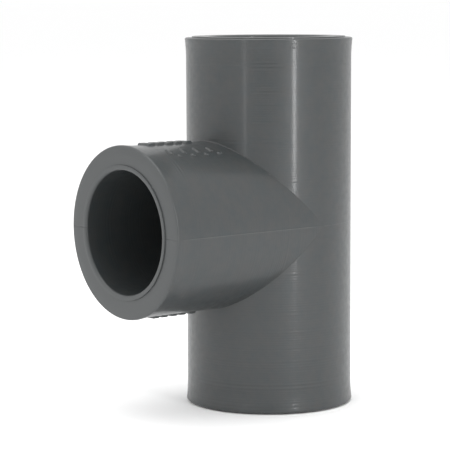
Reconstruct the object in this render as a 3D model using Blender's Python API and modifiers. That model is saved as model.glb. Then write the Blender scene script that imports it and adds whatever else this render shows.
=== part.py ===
"""A slip tee for small irrigation pipe, moulded in one piece, in metres with +Z up.

The run stands on its lower end. The branch leaves the run's middle towards -Y. The origin is on
the base plane, in the middle of the tee's footprint.
"""

import math

import bpy
from mathutils import Matrix, Vector

MM = 0.001

# Driving dimensions
RUN_LENGTH = 66.3 * MM  # end face to end face
BRANCH_REACH = 33.07 * MM  # run axis to branch end face
END_RADIUS = 15.08 * MM  # outside of each hub at its lip
BODY_RADIUS = 14.88 * MM  # outside of the arms behind the lip
BRANCH_INSET = 0.03 * MM  # the branch's body is this much slimmer than the run's
LIP_LENGTH = 3.4 * MM  # stretch over which the body swells to the lip
LIP_ROUND = 0.35 * MM  # rounding of the lip's outer corner
RUN_RING_RADIUS = 13.8 * MM  # outside of the proud ring round each mouth of the run
BRANCH_RING_RADIUS = 11.7 * MM  # and round the branch's mouth
RING_HEIGHT = 0.22 * MM
MOUTH_RADIUS = 10.77 * MM  # socket at its mouth
SEAT_RADIUS = 10.615 * MM  # socket at its stop
SOCKET_DEPTH = 22.2 * MM
ENTRY_ROUND = 0.45 * MM  # rounding of the socket's mouth
WATERWAY_RADIUS = 7.6 * MM
BRANCH_WATERWAY_RADIUS = 7.5 * MM

# Facets
TURN_STEPS = 72
ROUND_STEPS = 3
CUT_OVERRUN = 2.0 * MM  # how far a cutter passes an end face
MERGE = 0.00001

# Where the axes cross
RUN_AXIS_Y = (BRANCH_REACH - END_RADIUS) / 2
CENTRE = Vector((0.0, RUN_AXIS_Y, RUN_LENGTH / 2))
TO_BRANCH = Matrix.Rotation(math.radians(90), 4, "X")  # turns +Z to -Y


def clear_scene():
    for old in list(bpy.data.objects):
        bpy.data.objects.remove(old)


def new_collection(name):
    group = bpy.data.collections.new(name)
    bpy.context.scene.collection.children.link(group)
    return group


def grey_pvc():
    """Satin grey PVC."""
    mat = bpy.data.materials.new("grey_pvc")
    mat.use_nodes = True
    shader = mat.node_tree.nodes["Principled BSDF"]
    shader.inputs["Base Color"].default_value = (0.115, 0.118, 0.120, 1.0)
    shader.inputs["Roughness"].default_value = 0.42
    shader.inputs["Metallic"].default_value = 0.0
    return mat


def arc(centre_r, centre_z, radius, start_deg, end_deg):
    """Points (r, z) along a small arc, both ends included."""
    points = []
    for step in range(ROUND_STEPS + 1):
        angle = math.radians(start_deg + (end_deg - start_deg) * step / ROUND_STEPS)
        points.append((centre_r + radius * math.cos(angle), centre_z + radius * math.sin(angle)))
    return points


def hub_outside(face_z, body_radius, ring_radius):
    """Outer outline (r, z) of one hub, from its axis at the face down to the plain body."""
    shoulder_z = face_z - RING_HEIGHT
    points = [(0.0, face_z), (ring_radius, face_z), (ring_radius, shoulder_z)]
    points += arc(END_RADIUS - LIP_ROUND, shoulder_z - LIP_ROUND, LIP_ROUND, 90, 0)
    points.append((body_radius, shoulder_z - LIP_LENGTH))
    return points


def socket_inside(face_z, waterway_radius):
    """Outline (r, z) of one socket's hollow, from the axis above the face down to the waterway."""
    stop_z = face_z - SOCKET_DEPTH
    points = [(0.0, face_z + CUT_OVERRUN)]
    points.append((MOUTH_RADIUS + ENTRY_ROUND, face_z + CUT_OVERRUN))
    points += arc(MOUTH_RADIUS + ENTRY_ROUND, face_z - ENTRY_ROUND, ENTRY_ROUND, 90, 180)
    points += [(SEAT_RADIUS, stop_z), (waterway_radius, stop_z)]
    return points


def turned(name, outline, collection, turn=Matrix.Identity(4)):
    """A solid turned about +Z from an outline that runs from top to bottom, placed at the centre."""
    mesh = bpy.data.meshes.new(name)
    edges = [(i, i + 1) for i in range(len(outline) - 1)]
    mesh.from_pydata([(r, 0.0, z) for r, z in outline], edges, [])
    obj = bpy.data.objects.new(name, mesh)
    collection.objects.link(obj)
    screw = obj.modifiers.new("turn", "SCREW")
    screw.axis = "Z"
    screw.steps = TURN_STEPS
    screw.render_steps = TURN_STEPS
    screw.use_merge_vertices = True
    screw.merge_threshold = MERGE
    screw.use_smooth_shade = False
    obj.matrix_world = Matrix.Translation(CENTRE) @ turn
    return obj


def as_guide(obj):
    obj.hide_render = True
    obj.display_type = "WIRE"
    return obj


def combine(obj, operation, other):
    boolean = obj.modifiers.new(f"{operation.lower()}_{other.name}", "BOOLEAN")
    boolean.operation = operation
    boolean.solver = "EXACT"
    boolean.object = other


def mirrored(points):
    """The same outline below the centre, so that the whole runs from top to bottom."""
    return [(r, -z) for r, z in reversed(points)]


def make_tee(parts, guides):
    half_run = RUN_LENGTH / 2
    hub = hub_outside(half_run, BODY_RADIUS, RUN_RING_RADIUS)
    tee = turned("tee_body", hub + mirrored(hub), parts)

    branch_radius = BODY_RADIUS - BRANCH_INSET
    branch = hub_outside(BRANCH_REACH, branch_radius, BRANCH_RING_RADIUS)
    branch += [(branch_radius, 0.0), (0.0, 0.0)]
    combine(tee, "UNION", as_guide(turned("branch_outside", branch, guides, TO_BRANCH)))

    bore = socket_inside(half_run, WATERWAY_RADIUS)
    bore = bore + mirrored(bore)
    combine(tee, "DIFFERENCE", as_guide(turned("run_bore", bore, guides)))

    side_bore = socket_inside(BRANCH_REACH, BRANCH_WATERWAY_RADIUS)
    side_bore += [(BRANCH_WATERWAY_RADIUS, 0.0), (0.0, 0.0)]
    combine(tee, "DIFFERENCE", as_guide(turned("branch_bore", side_bore, guides, TO_BRANCH)))

    tee.data.materials.append(grey_pvc())
    return tee


clear_scene()
make_tee(new_collection("pvc_tee_fitting"), new_collection("cutters"))
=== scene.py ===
"""Looks of the PVC tee fitting: one satin grey moulding on a plain pale floor.

The tee stands on its lower end with the run along +Z and the branch towards -Y. Its skin is built
in the tee's own coordinates (out, side, up): out along the branch, side across, up along the run,
measured from the point where the axes cross.
"""

import math

import bmesh
import bpy
from mathutils import Matrix, Vector


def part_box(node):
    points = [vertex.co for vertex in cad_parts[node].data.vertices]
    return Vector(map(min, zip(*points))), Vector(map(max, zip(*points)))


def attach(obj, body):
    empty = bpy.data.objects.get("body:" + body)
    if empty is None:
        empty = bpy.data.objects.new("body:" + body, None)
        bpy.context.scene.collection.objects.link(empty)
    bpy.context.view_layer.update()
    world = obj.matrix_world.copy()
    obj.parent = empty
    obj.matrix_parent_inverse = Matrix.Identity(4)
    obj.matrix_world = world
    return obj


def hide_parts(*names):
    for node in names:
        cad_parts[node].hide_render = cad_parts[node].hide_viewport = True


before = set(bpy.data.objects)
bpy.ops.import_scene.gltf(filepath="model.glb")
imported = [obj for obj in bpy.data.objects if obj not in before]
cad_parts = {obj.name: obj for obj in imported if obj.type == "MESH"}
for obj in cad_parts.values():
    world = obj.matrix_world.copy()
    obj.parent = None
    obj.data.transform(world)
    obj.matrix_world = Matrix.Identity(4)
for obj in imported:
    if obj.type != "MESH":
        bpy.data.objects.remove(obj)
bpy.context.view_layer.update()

MM = 0.001
NODE = "tee_body"


low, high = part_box(NODE)

# Sizes that the frame gives
END_RADIUS = high.x
HALF_RUN = (high.z - low.z) / 2
AXIS_Y = high.y - END_RADIUS
REACH = AXIS_Y - low.y
CENTRE = Vector((0.0, AXIS_Y, low.z + HALF_RUN))

# Sizes of the moulding's details
BODY_RADIUS = 14.88 * MM
LIP_LENGTH = 3.4 * MM
LIP_ROUND = 0.28 * MM
RUN_RING_RADIUS = 13.8 * MM
BRANCH_RING_RADIUS = 11.7 * MM
RING_HEIGHT = 0.22 * MM
RING_ROUND = 0.03 * MM
RING_GROOVE = 0.01 * MM  # a fine gutter at the foot of the proud ring
MOUTH_RADIUS = 10.77 * MM
SEAT_RADIUS = 10.615 * MM
SOCKET_DEPTH = 22.2 * MM
ENTRY_ROUND = 0.45 * MM
WATERWAY_RADIUS = 7.6 * MM
STOP_ROUND = 0.3 * MM
CROTCH_FILLET = 0.16 * MM
WATERWAY_EDGE = 0.3 * MM
SEAM_HALF_WIDTH = 0.07 * MM  # the moulding's parting line
SEAM_HEIGHT = 0.045 * MM
SEAM_FADE = 4.0 * MM  # the branch's seam dies out this far from the run's axis

# How a fine line shows: 1 is the pale ridge of the parting line, -1 a dark groove; negative values
# also paint shade into the crotch and up the proud ring's wall
BACK_SEAM = 0.5  # the parting line round the run
FACE_SEAM = -1.0  # the parting line across the branch's end face
# Painted shade up the proud ring's wall, standing in for the shadow at its step
RING_WALL_PAINTED_SHADE = -0.4  # up the wall of the branch's proud ring
# Painted shade: darkens the crease where the branch meets the run
CROTCH_PAINTED_SHADE = -0.6
CROTCH_FADE = 0.5  # the crotch's shade fades below this share of the body's radius

# Raised bars on the branch: tall ones near its top, and low ones beside them with a dot each
TALL_BARS = 5
TALL_START = 5.6 * MM
TALL_PITCH = 2.0 * MM
TALL_HEIGHT = 0.40 * MM
TALL_WIDTH = 1.5 * MM
TALL_ANGLE = -1.5  # degrees from the top
TALL_ARC_MM = 3.4
LOW_BARS = 4
LOW_START = 6.2 * MM
LOW_PITCH = 2.9 * MM
LOW_HEIGHT = 0.25 * MM
LOW_WIDTH = 0.9 * MM
LOW_ANGLE = 21.0
LOW_ARC_MM = 1.9
ARC_STEP_MM = 0.3  # every other bar is this much shorter
DOT_ALONG = 1.1 * MM
DOT_WIDTH = 1.0 * MM
DOT_ANGLE = 27.0
DOT_ARC = 0.7 * MM
PAD_EDGE = 0.22 * MM  # width of a bar's sloped edge
PAD_RAMP = (0.0, 0.5, 1.0)
PAD_SHOULDER = 0.75  # share of the height that is reached halfway up the slope
PAD_SUNK = 0.08 * MM  # how far a bar's rim lies below the wall
PAD_UNDERSIDE = 0.16 * MM

# Fineness of the skin
COLUMNS = 120  # across each half of an arm
ARM_ROWS = 30
FILLET_ROWS = 8
ROUND_ROWS = 5
LIP_ROWS = 8
LIP_SWELL = 1.6  # power of the swell's curve
SOCKET_ROWS = 10
BORE_ROWS = 6
STOP_ROWS = 3
RING_ROWS = 2
WELD = 0.0000005
PARALLEL = 1e-4  # radians
SHARP_ANGLE = math.radians(40)


# ---------------------------------------------------------------- skin of the moulding
def arc(r, d, radius, start, end, rows=ROUND_ROWS):
    """Points (radius from the axis, distance along it) on a rounding, angles in degrees."""
    steps = [math.radians(start + (end - start) * i / rows) for i in range(rows + 1)]
    return [(r + radius * math.cos(a), d + radius * math.sin(a)) for a in steps]


def lip(face, ring_radius):
    """The hub's outside, from the plain body out to the lip and over the end face to the mouth."""
    shoulder = face - RING_HEIGHT
    start = shoulder - LIP_LENGTH
    swell_end = shoulder - LIP_ROUND
    points = []
    for i in range(LIP_ROWS + 1):
        t = i / LIP_ROWS
        radius = BODY_RADIUS + (END_RADIUS - BODY_RADIUS) * t ** LIP_SWELL
        points.append((radius, start + (swell_end - start) * t))
    points += arc(END_RADIUS - LIP_ROUND, swell_end, LIP_ROUND, 0, 90)[1:]
    flat_end = ring_radius + 2 * RING_GROOVE
    points += [((END_RADIUS - LIP_ROUND + flat_end) / 2, shoulder), (flat_end, shoulder)]
    points += [(ring_radius + RING_GROOVE, shoulder - RING_GROOVE)]
    points += [(ring_radius, shoulder - RING_GROOVE), (ring_radius, shoulder)]
    points += arc(ring_radius - RING_ROUND, face - RING_ROUND, RING_ROUND, 0, 90, RING_ROWS)
    points += [((ring_radius + MOUTH_RADIUS + ENTRY_ROUND) / 2, face)]
    points += arc(MOUTH_RADIUS + ENTRY_ROUND, face - ENTRY_ROUND, ENTRY_ROUND, 90, 180)
    return points


def socket(face):
    """The socket's inside, from below its mouth down to the edge of the waterway."""
    top = face - ENTRY_ROUND
    stop = face - SOCKET_DEPTH
    points = []
    for i in range(1, SOCKET_ROWS):
        t = i / SOCKET_ROWS
        points.append((MOUTH_RADIUS + (SEAT_RADIUS - MOUTH_RADIUS) * t, top + (stop - top) * t))
    points += arc(SEAT_RADIUS - STOP_ROUND, stop + STOP_ROUND, STOP_ROUND, 0, -90, STOP_ROWS)
    points += arc(WATERWAY_RADIUS + STOP_ROUND, stop - STOP_ROUND, STOP_ROUND, 90, 180, STOP_ROWS)
    return points


def run_point(radius, turn, along):
    return Vector((radius * math.cos(turn), radius * math.sin(turn), along))


def branch_point(radius, turn, along):
    return Vector((along, radius * math.sin(turn), radius * math.cos(turn)))


def corner(radius, rounding, turn):
    """From the run's wall round to the branch's, where two equal cylinders meet at right angles.

    A ball of the given rounding rests on both walls, so each path ends on both of them.
    """
    reach = (radius + rounding) * math.cos(turn)
    ball = Vector((reach, (radius + rounding) * math.sin(turn), reach))
    to_run = Vector((math.cos(turn), math.sin(turn), 0.0))
    to_branch = Vector((0.0, math.sin(turn), math.cos(turn)))
    points = []
    for i in range(FILLET_ROWS + 1):
        t = i / FILLET_ROWS
        if to_run.angle(to_branch, 0.0) < PARALLEL:
            direction = to_run
        else:
            direction = to_run.slerp(to_branch, t)
        points.append(ball - direction * rounding)
    return points


def between(first, last, rows):
    """Points strictly between two points, closer together near both ends."""
    spread = [(1 - math.cos(math.pi * i / rows)) / 2 for i in range(1, rows)]
    return [first.lerp(last, t) for t in spread]


def front_loop(turn):
    """One closed section through the upper half of the run's front and the branch."""
    hub_run = [run_point(r, turn, d) for r, d in lip(HALF_RUN, RUN_RING_RADIUS)]
    hub_branch = [branch_point(r, turn, d) for r, d in lip(REACH, BRANCH_RING_RADIUS)]
    outer = corner(BODY_RADIUS, CROTCH_FILLET, turn)
    guard = beside(outer[0], hub_run[0])
    path = [(p, "run") for p in reversed(hub_run)]
    path += [(p, "run") for p in between(hub_run[0], guard, ARM_ROWS) + [guard]]
    path += [(p, "crotch") for p in outer]
    path += [(p, "branch") for p in between(outer[-1], hub_branch[0], ARM_ROWS)]
    path += [(p, "branch") for p in hub_branch]
    in_branch = [branch_point(r, turn, d) for r, d in socket(REACH)]
    in_run = [run_point(r, turn, d) for r, d in socket(HALF_RUN)]
    inner = corner(WATERWAY_RADIUS, WATERWAY_EDGE, turn)
    path += [(p, "branch bore") for p in in_branch]
    path += [(p, "branch bore") for p in between(in_branch[-1], inner[-1], BORE_ROWS)]
    path += [(p, "run bore") for p in reversed(inner)]
    path += [(p, "run bore") for p in between(inner[0], in_run[-1], BORE_ROWS)]
    path += [(p, "run bore") for p in reversed(in_run)]
    return path


def back_loop(turn):
    """One closed section through the run's back, top to bottom and up through the bore."""
    hub = [run_point(r, turn, d) for r, d in lip(HALF_RUN, RUN_RING_RADIUS)]
    bore = [run_point(r, turn, d) for r, d in socket(HALF_RUN)]
    middle = run_point(BODY_RADIUS, turn, 0.0)
    bore_middle = run_point(WATERWAY_RADIUS, turn, 0.0)
    guard = beside(middle, hub[0])
    upper = list(reversed(hub)) + between(hub[0], guard, ARM_ROWS) + [guard, middle]
    inner = [bore_middle] + between(bore_middle, bore[-1], BORE_ROWS) + list(reversed(bore))
    down = [mirrored(p) for p in reversed(upper[:-1])]
    up = [mirrored(p) for p in reversed(inner[1:])]
    return [(p, "run") for p in upper + down] + [(p, "run bore") for p in up + inner]


def mirrored(point):
    return Vector((point.x, point.y, -point.z))


def beside(point, towards):
    """A point half a seam away, so that the seam's ridge stays narrow."""
    return point + (towards - point).normalized() * SEAM_HALF_WIDTH


def on_ring_wall(point, arm):
    """Whether the point is on the upright wall of the proud ring round the branch's mouth."""
    radius = math.hypot(point.y, point.z)
    behind = REACH - point.x
    return arm == "branch" and abs(radius - BRANCH_RING_RADIUS) < WELD and behind > RING_ROUND / 2


def with_seam(point, arm, on_edge):
    """The point with the parting line's fine ridge, and how strongly the line shows there.

    The mould opens along the run, so the line runs along both sides of the branch, across its end
    face and round the run's back at half height.
    """
    flat_radius = math.hypot(point.x, point.y)
    if arm in ("run", "crotch") and abs(point.z) < WELD and point.x < WELD:
        around_run = 1 + BACK_SEAM * SEAM_HEIGHT / flat_radius
        return Vector((point.x * around_run, point.y * around_run, point.z)), BACK_SEAM
    if not on_edge or arm != "branch":
        return point, 0.0
    behind = REACH - point.x
    if abs(point.y) < END_RADIUS - LIP_ROUND:
        sunk = SEAM_HEIGHT if behind < RING_HEIGHT + WELD else 0.0
        return point - Vector((sunk, 0.0, 0.0)), FACE_SEAM
    to_lip = min(1.0, max(0.0, behind - RING_HEIGHT - LIP_ROUND) / LIP_LENGTH)
    to_run = min(1.0, point.x / SEAM_FADE)
    strength = to_lip * to_run
    return point + Vector((0.0, math.copysign(SEAM_HEIGHT * strength, point.y), 0.0)), strength


def add_sheet(bm, loops, flip):
    """Joins closed sections side by side. Each vertex keeps its depth behind its arm's end face."""
    depth = bm.verts.layers.float["depth"]
    seam = bm.verts.layers.float["seam"]
    columns = []
    for index, loop in enumerate(loops):
        on_edge = index in (0, len(loops) - 1)
        column = []
        for point, arm in loop:
            place, strength = with_seam(point, arm, on_edge)
            # Painted shade on the proud ring's upright wall
            if on_ring_wall(point, arm):
                strength = RING_WALL_PAINTED_SHADE
            # Painted shade in the crotch, fading out towards the sides where the two walls meet
            # smoothly
            if arm == "crotch":
                strength = CROTCH_PAINTED_SHADE * min(1.0, abs(point.z) / (CROTCH_FADE * BODY_RADIUS))
            vert = bm.verts.new(place)
            vert[depth] = REACH - point.x if arm.startswith("branch") else HALF_RUN - abs(point.z)
            vert[seam] = strength
            column.append(vert)
        columns.append(column)
    rows = len(columns[0])
    for left, right in zip(columns, columns[1:]):
        for i in range(rows):
            j = (i + 1) % rows
            quad = (left[i], left[j], right[j], right[i])
            bm.faces.new(quad if flip else quad[::-1])


def add_pad(bm, behind, length, angle, arc_length, height):
    """A low raised pad with sloped edges on the branch's wall, closed beneath the surface.

    Its middle is the given distance behind the end face and the given angle from the top.
    """
    depth = bm.verts.layers.float["depth"]

    def spread(size):
        ramp = [PAD_EDGE * t for t in PAD_RAMP]
        return [x - size / 2 for x in ramp] + [size / 2 - x for x in reversed(ramp)]

    rise = [-PAD_SUNK, height * PAD_SHOULDER, height]
    rise = rise + rise[::-1]
    rows = []
    for i, along in enumerate(spread(length)):
        row = []
        for j, across in enumerate(spread(arc_length)):
            turn = math.radians(angle) + across / BODY_RADIUS
            lift = min(rise[i], rise[j])
            vert = bm.verts.new(branch_point(BODY_RADIUS + lift, turn, REACH - behind + along))
            vert[depth] = behind - along
            row.append(vert)
        rows.append(row)
    for upper, lower in zip(rows, rows[1:]):
        for i in range(len(upper) - 1):
            bm.faces.new((upper[i], upper[i + 1], lower[i + 1], lower[i]))
    rim = rows[0] + [row[-1] for row in rows[1:]] + rows[-1][-2::-1]
    rim += [row[0] for row in rows[-2:0:-1]]
    below = BODY_RADIUS - PAD_UNDERSIDE
    middle = bm.verts.new(branch_point(below, math.radians(angle), REACH - behind))
    middle[depth] = behind
    for first, second in zip(rim, rim[1:] + rim[:1]):
        bm.faces.new((second, first, middle))


def add_marks(bm):
    """Plain raised bars in place of moulded lettering, on the branch's upper and lower sides."""
    for side in (0.0, 180.0):
        for i in range(TALL_BARS):
            behind = TALL_START + TALL_PITCH * i
            arc_length = (TALL_ARC_MM - ARC_STEP_MM * (i % 2)) * MM
            add_pad(bm, behind, TALL_WIDTH, side + TALL_ANGLE, arc_length, TALL_HEIGHT)
        for i in range(LOW_BARS):
            behind = LOW_START + LOW_PITCH * i
            arc_length = (LOW_ARC_MM - ARC_STEP_MM * (i % 2)) * MM
            add_pad(bm, behind, LOW_WIDTH, side + LOW_ANGLE, arc_length, LOW_HEIGHT)
            add_pad(bm, behind + DOT_ALONG, DOT_WIDTH, side + DOT_ANGLE, DOT_ARC, LOW_HEIGHT)


def to_frame(point):
    """From (out, side, up) about the tee's centre to the row frame."""
    return CENTRE + Vector((point.y, -point.x, point.z))


def half_turns():
    """Angles across half of an arm, with a narrow column at each edge for the seam's ridge."""
    seam_turn = SEAM_HALF_WIDTH / BODY_RADIUS
    even = [math.pi * (i / COLUMNS - 0.5) for i in range(1, COLUMNS)]
    quarter = math.pi / 2
    return [-quarter, seam_turn - quarter] + even + [quarter - seam_turn, quarter]


def make_skin():
    bm = bmesh.new()
    bm.verts.layers.float.new("depth")
    # The seam layer holds the parting line's strength, and also painted shade for the crotch and the
    # ring's wall
    bm.verts.layers.float.new("seam")
    upper = [front_loop(turn) for turn in half_turns()]
    lower = [[(mirrored(p), arm) for p, arm in loop] for loop in upper]
    back = [back_loop(turn + math.pi) for turn in half_turns()]
    add_sheet(bm, upper, False)
    add_sheet(bm, lower, True)
    add_sheet(bm, back, False)
    bmesh.ops.remove_doubles(bm, verts=bm.verts, dist=WELD)
    bmesh.ops.dissolve_degenerate(bm, edges=bm.edges, dist=WELD)
    add_marks(bm)
    for vert in bm.verts:
        vert.co = to_frame(vert.co)
    bmesh.ops.recalc_face_normals(bm, faces=bm.faces)
    mesh = bpy.data.meshes.new("tee_moulding")
    bm.to_mesh(mesh)
    bm.free()
    mesh.shade_smooth()
    mesh.set_sharp_from_angle(angle=SHARP_ANGLE)
    obj = bpy.data.objects.new("tee_moulding", mesh)
    bpy.context.scene.collection.objects.link(obj)
    return obj


# ---------------------------------------------------------------- materials
def node(tree, kind, **values):
    """A shader node with its inputs set by name."""
    made = tree.nodes.new(kind)
    for name, value in values.items():
        made.inputs[name.replace("_", " ")].default_value = value
    return made


def attribute(tree, name):
    made = tree.nodes.new("ShaderNodeAttribute")
    made.attribute_name = name
    return made.outputs["Fac"]


def grains(tree, where, scale, detail, rough=0.5):
    """Noise over the surface, from 0 to 1."""
    made = node(tree, "ShaderNodeTexNoise", Scale=scale, Detail=detail, Roughness=rough)
    tree.links.new(where, made.inputs["Vector"])
    return made.outputs["Fac"]


def ranged(tree, value, start, end, first, last):
    """The value mapped from start..end to first..last, held at both ends."""
    made = tree.nodes.new("ShaderNodeMapRange")
    for name, number in zip(("From Min", "From Max", "To Min", "To Max"), (start, end, first, last)):
        made.inputs[name].default_value = number
    tree.links.new(value, made.inputs["Value"])
    return made.outputs["Result"]


def mixed(tree, factor, first, second):
    """A colour mix. Each colour is a tuple or another node's output."""
    made = tree.nodes.new("ShaderNodeMix")
    made.data_type = "RGBA"
    tree.links.new(factor, made.inputs["Factor"])
    for colour, socket_in in ((first, made.inputs[6]), (second, made.inputs[7])):
        if isinstance(colour, tuple):
            socket_in.default_value = (*colour, 1.0)
        else:
            tree.links.new(colour, socket_in)
    return made.outputs[2]


def bumped(tree, height, distance, below=None):
    made = node(tree, "ShaderNodeBump", Strength=1.0, Distance=distance)
    tree.links.new(height, made.inputs["Height"])
    if below is not None:
        tree.links.new(below, made.inputs["Normal"])
    return made.outputs["Normal"]


COOL_GREY = (0.031, 0.037, 0.039)
PLAIN_GREY = (0.038, 0.040, 0.040)
FACE_GREY = (0.051, 0.055, 0.056)
SEAM_GREY = (0.095, 0.098, 0.098)
# Dark grey of the parting line across the end face, also used as painted shade in the crotch and on
# the ring's wall
LINE_AND_SHADE_GREY = (0.025, 0.027, 0.027)
SEAM_PALENESS = 0.6  # share of the seam's grey on the ridge
FACE_FROM = 0.26 * MM  # depth behind an end face where its look starts to give way
FACE_TO = 0.5 * MM
CLOUD_SCALE, CLOUD_DETAIL, CLOUD_ROUGHNESS = 420.0, 5.0, 0.7
CLOUD_LOW, CLOUD_HIGH = 0.35, 0.65
SATIN_SCALE, SATIN_DETAIL = 900.0, 3.0
SATIN_LOW, SATIN_HIGH = 0.3, 0.7
SATIN_SMOOTH, SATIN_ROUGH = 0.42, 0.52
FACE_ROUGHNESS = 0.6
GLOSS, GLOSS_ROUGHNESS = 0.42, 0.16  # the thin clear skin that carries the lamps' streaks
SPECULAR = 0.35
TURNED_SCALE, TURNED_DEPTH = 2900.0, 0.016 * MM
GRAIN_SCALE, GRAIN_DETAIL, GRAIN_DEPTH = 1500.0, 2.0, 0.004 * MM


def grey_pvc():
    """Satin grey PVC: paler and duller on the end faces, with fine turned marks round each arm."""
    mat = bpy.data.materials.new("grey_pvc")
    mat.use_nodes = True
    tree = mat.node_tree
    link = tree.links.new
    shader = tree.nodes["Principled BSDF"]
    shader.inputs["Coat Weight"].default_value = GLOSS
    shader.inputs["Coat Roughness"].default_value = GLOSS_ROUGHNESS
    shader.inputs["Specular IOR Level"].default_value = SPECULAR
    where = tree.nodes.new("ShaderNodeTexCoord").outputs["Object"]
    depth = attribute(tree, "depth")
    on_face = ranged(tree, depth, FACE_FROM, FACE_TO, 1.0, 0.0)

    clouds = grains(tree, where, CLOUD_SCALE, CLOUD_DETAIL, CLOUD_ROUGHNESS)
    clouds = ranged(tree, clouds, CLOUD_LOW, CLOUD_HIGH, 0.0, 1.0)
    colour = mixed(tree, clouds, COOL_GREY, PLAIN_GREY)
    colour = mixed(tree, on_face, colour, FACE_GREY)
    seam = attribute(tree, "seam")
    on_ridge = ranged(tree, seam, 0.0, 1.0, 0.0, SEAM_PALENESS)
    colour = mixed(tree, on_ridge, colour, SEAM_GREY)
    # Negative seam values: the dark parting line, and painted shade in the crotch and up the ring's
    # wall
    in_line_or_shade = ranged(tree, seam, -1.0, 0.0, 1.0, 0.0)
    link(mixed(tree, in_line_or_shade, colour, LINE_AND_SHADE_GREY), shader.inputs["Base Color"])

    satin = grains(tree, where, SATIN_SCALE, SATIN_DETAIL)
    satin = ranged(tree, satin, SATIN_LOW, SATIN_HIGH, SATIN_SMOOTH, SATIN_ROUGH)
    dull = tree.nodes.new("ShaderNodeMix")
    link(on_face, dull.inputs["Factor"])
    link(satin, dull.inputs["A"])
    dull.inputs["B"].default_value = FACE_ROUGHNESS
    link(dull.outputs["Result"], shader.inputs["Roughness"])

    marks = tree.nodes.new("ShaderNodeTexNoise")
    marks.noise_dimensions = "1D"
    marks.inputs["Scale"].default_value = TURNED_SCALE
    marks.inputs["Detail"].default_value = 0.0
    link(depth, marks.inputs["W"])
    turned = bumped(tree, marks.outputs["Fac"], TURNED_DEPTH)
    grain = grains(tree, where, GRAIN_SCALE, GRAIN_DETAIL)
    link(bumped(tree, grain, GRAIN_DEPTH, turned), shader.inputs["Normal"])
    link(turned, shader.inputs["Coat Normal"])
    return mat


# ---------------------------------------------------------------- floor, light and camera
FLOOR_HALF = 20.0
FLOOR_GREY = (0.93, 0.93, 0.93)
FLOOR_ROUGHNESS = 0.9
WORLD_LIGHT = 1.07
DIM_LIGHT = 0.15  # the room behind the camera, between the lamps
DIM_EDGE = math.radians(24.0)
DIM_CORE = math.radians(7.0)

# The camera stands to the right of the branch, a little above the tee
CAMERA_AROUND = math.radians(49.29)  # from the branch's direction, about the run
CAMERA_DISTANCE = 363.4 * MM
CAMERA_HEIGHT = 40.7 * MM  # above the tee's centre
CAMERA_TURN = math.radians(1.257)
CAMERA_DOWN = math.radians(6.561)
CAMERA_ROLL = math.radians(-0.238)
LENS = 160.8
NEAR_CLIP, FAR_CLIP = 0.01, 100.0

# Lamps: degrees from the branch's direction, distance, height, size and power
LAMPS = {
    "right_softbox": (84.3, 0.34, 0.07, (0.016, 0.26), 0.46),
    "left_softbox": (17.0, 0.34, 0.07, (0.014, 0.26), 0.06),
    "left_fill": (-35.0, 0.60, 0.35, (0.50, 0.50), 0.7),
    "overhead": (50.0, 0.05, 0.70, (0.70, 0.70), 2.4),
}


def plain_material(name, colour, roughness):
    mat = bpy.data.materials.new(name)
    mat.use_nodes = True
    shader = mat.node_tree.nodes["Principled BSDF"]
    shader.inputs["Base Color"].default_value = (*colour, 1.0)
    shader.inputs["Roughness"].default_value = roughness
    return mat


def make_floor():
    bm = bmesh.new()
    bmesh.ops.create_grid(bm, x_segments=1, y_segments=1, size=FLOOR_HALF)
    mesh = bpy.data.meshes.new("floor")
    bm.to_mesh(mesh)
    bm.free()
    floor = bpy.data.objects.new("floor", mesh)
    floor.location.z = low.z
    bpy.context.scene.collection.objects.link(floor)
    mesh.materials.append(plain_material("pale_floor", FLOOR_GREY, FLOOR_ROUGHNESS))


def make_world():
    """White all round, with the dim side of the room where the camera stands."""
    world = bpy.data.worlds.new("studio")
    world.use_nodes = True
    tree = world.node_tree
    background = tree.nodes["Background"]
    background.inputs["Color"].default_value = (1.0, 1.0, 1.0, 1.0)
    facing = tree.nodes.new("ShaderNodeVectorMath")
    facing.operation = "DOT_PRODUCT"
    facing.inputs[1].default_value = (math.sin(CAMERA_AROUND), -math.cos(CAMERA_AROUND), 0.0)
    tree.links.new(tree.nodes.new("ShaderNodeTexCoord").outputs["Generated"], facing.inputs[0])
    light = ranged(tree, facing.outputs["Value"], math.cos(DIM_EDGE), math.cos(DIM_CORE),
                   WORLD_LIGHT, DIM_LIGHT)
    tree.links.new(light, background.inputs["Strength"])
    bpy.context.scene.world = world
    bpy.context.scene.view_settings.view_transform = "Standard"


def around(angle, distance, height):
    """A place round the run, by its angle from the branch towards +X."""
    flat = Vector((math.sin(angle), -math.cos(angle), 0.0)) * distance
    return CENTRE + flat + Vector((0.0, 0.0, height))


def make_camera():
    data = bpy.data.cameras.new("camera")
    data.lens = LENS
    data.clip_start = NEAR_CLIP
    data.clip_end = FAR_CLIP
    camera = bpy.data.objects.new("camera", data)
    facing = CAMERA_AROUND + CAMERA_TURN
    turn = Matrix.Rotation(facing, 4, "Z") @ Matrix.Rotation(math.pi / 2 - CAMERA_DOWN, 4, "X")
    turn = turn @ Matrix.Rotation(CAMERA_ROLL, 4, "Z")
    place = around(CAMERA_AROUND, CAMERA_DISTANCE, CAMERA_HEIGHT)
    camera.matrix_world = Matrix.Translation(place) @ turn
    bpy.context.scene.collection.objects.link(camera)
    bpy.context.scene.camera = camera


def softbox(name, angle, distance, height, size, power):
    """A rectangular lamp that faces the tee."""
    data = bpy.data.lights.new(name, "AREA")
    data.shape = "RECTANGLE"
    data.size, data.size_y = size
    data.energy = power
    lamp = bpy.data.objects.new(name, data)
    place = around(math.radians(angle), distance, height)
    lamp.location = place
    lamp.rotation_euler = (CENTRE - place).to_track_quat("-Z", "Y").to_euler()
    bpy.context.scene.collection.objects.link(lamp)


skin = make_skin()
skin.data.materials.append(grey_pvc())
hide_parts(NODE)
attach(skin, "root")

make_floor()
make_world()
make_camera()
for lamp_name, lamp in LAMPS.items():
    softbox(lamp_name, *lamp)
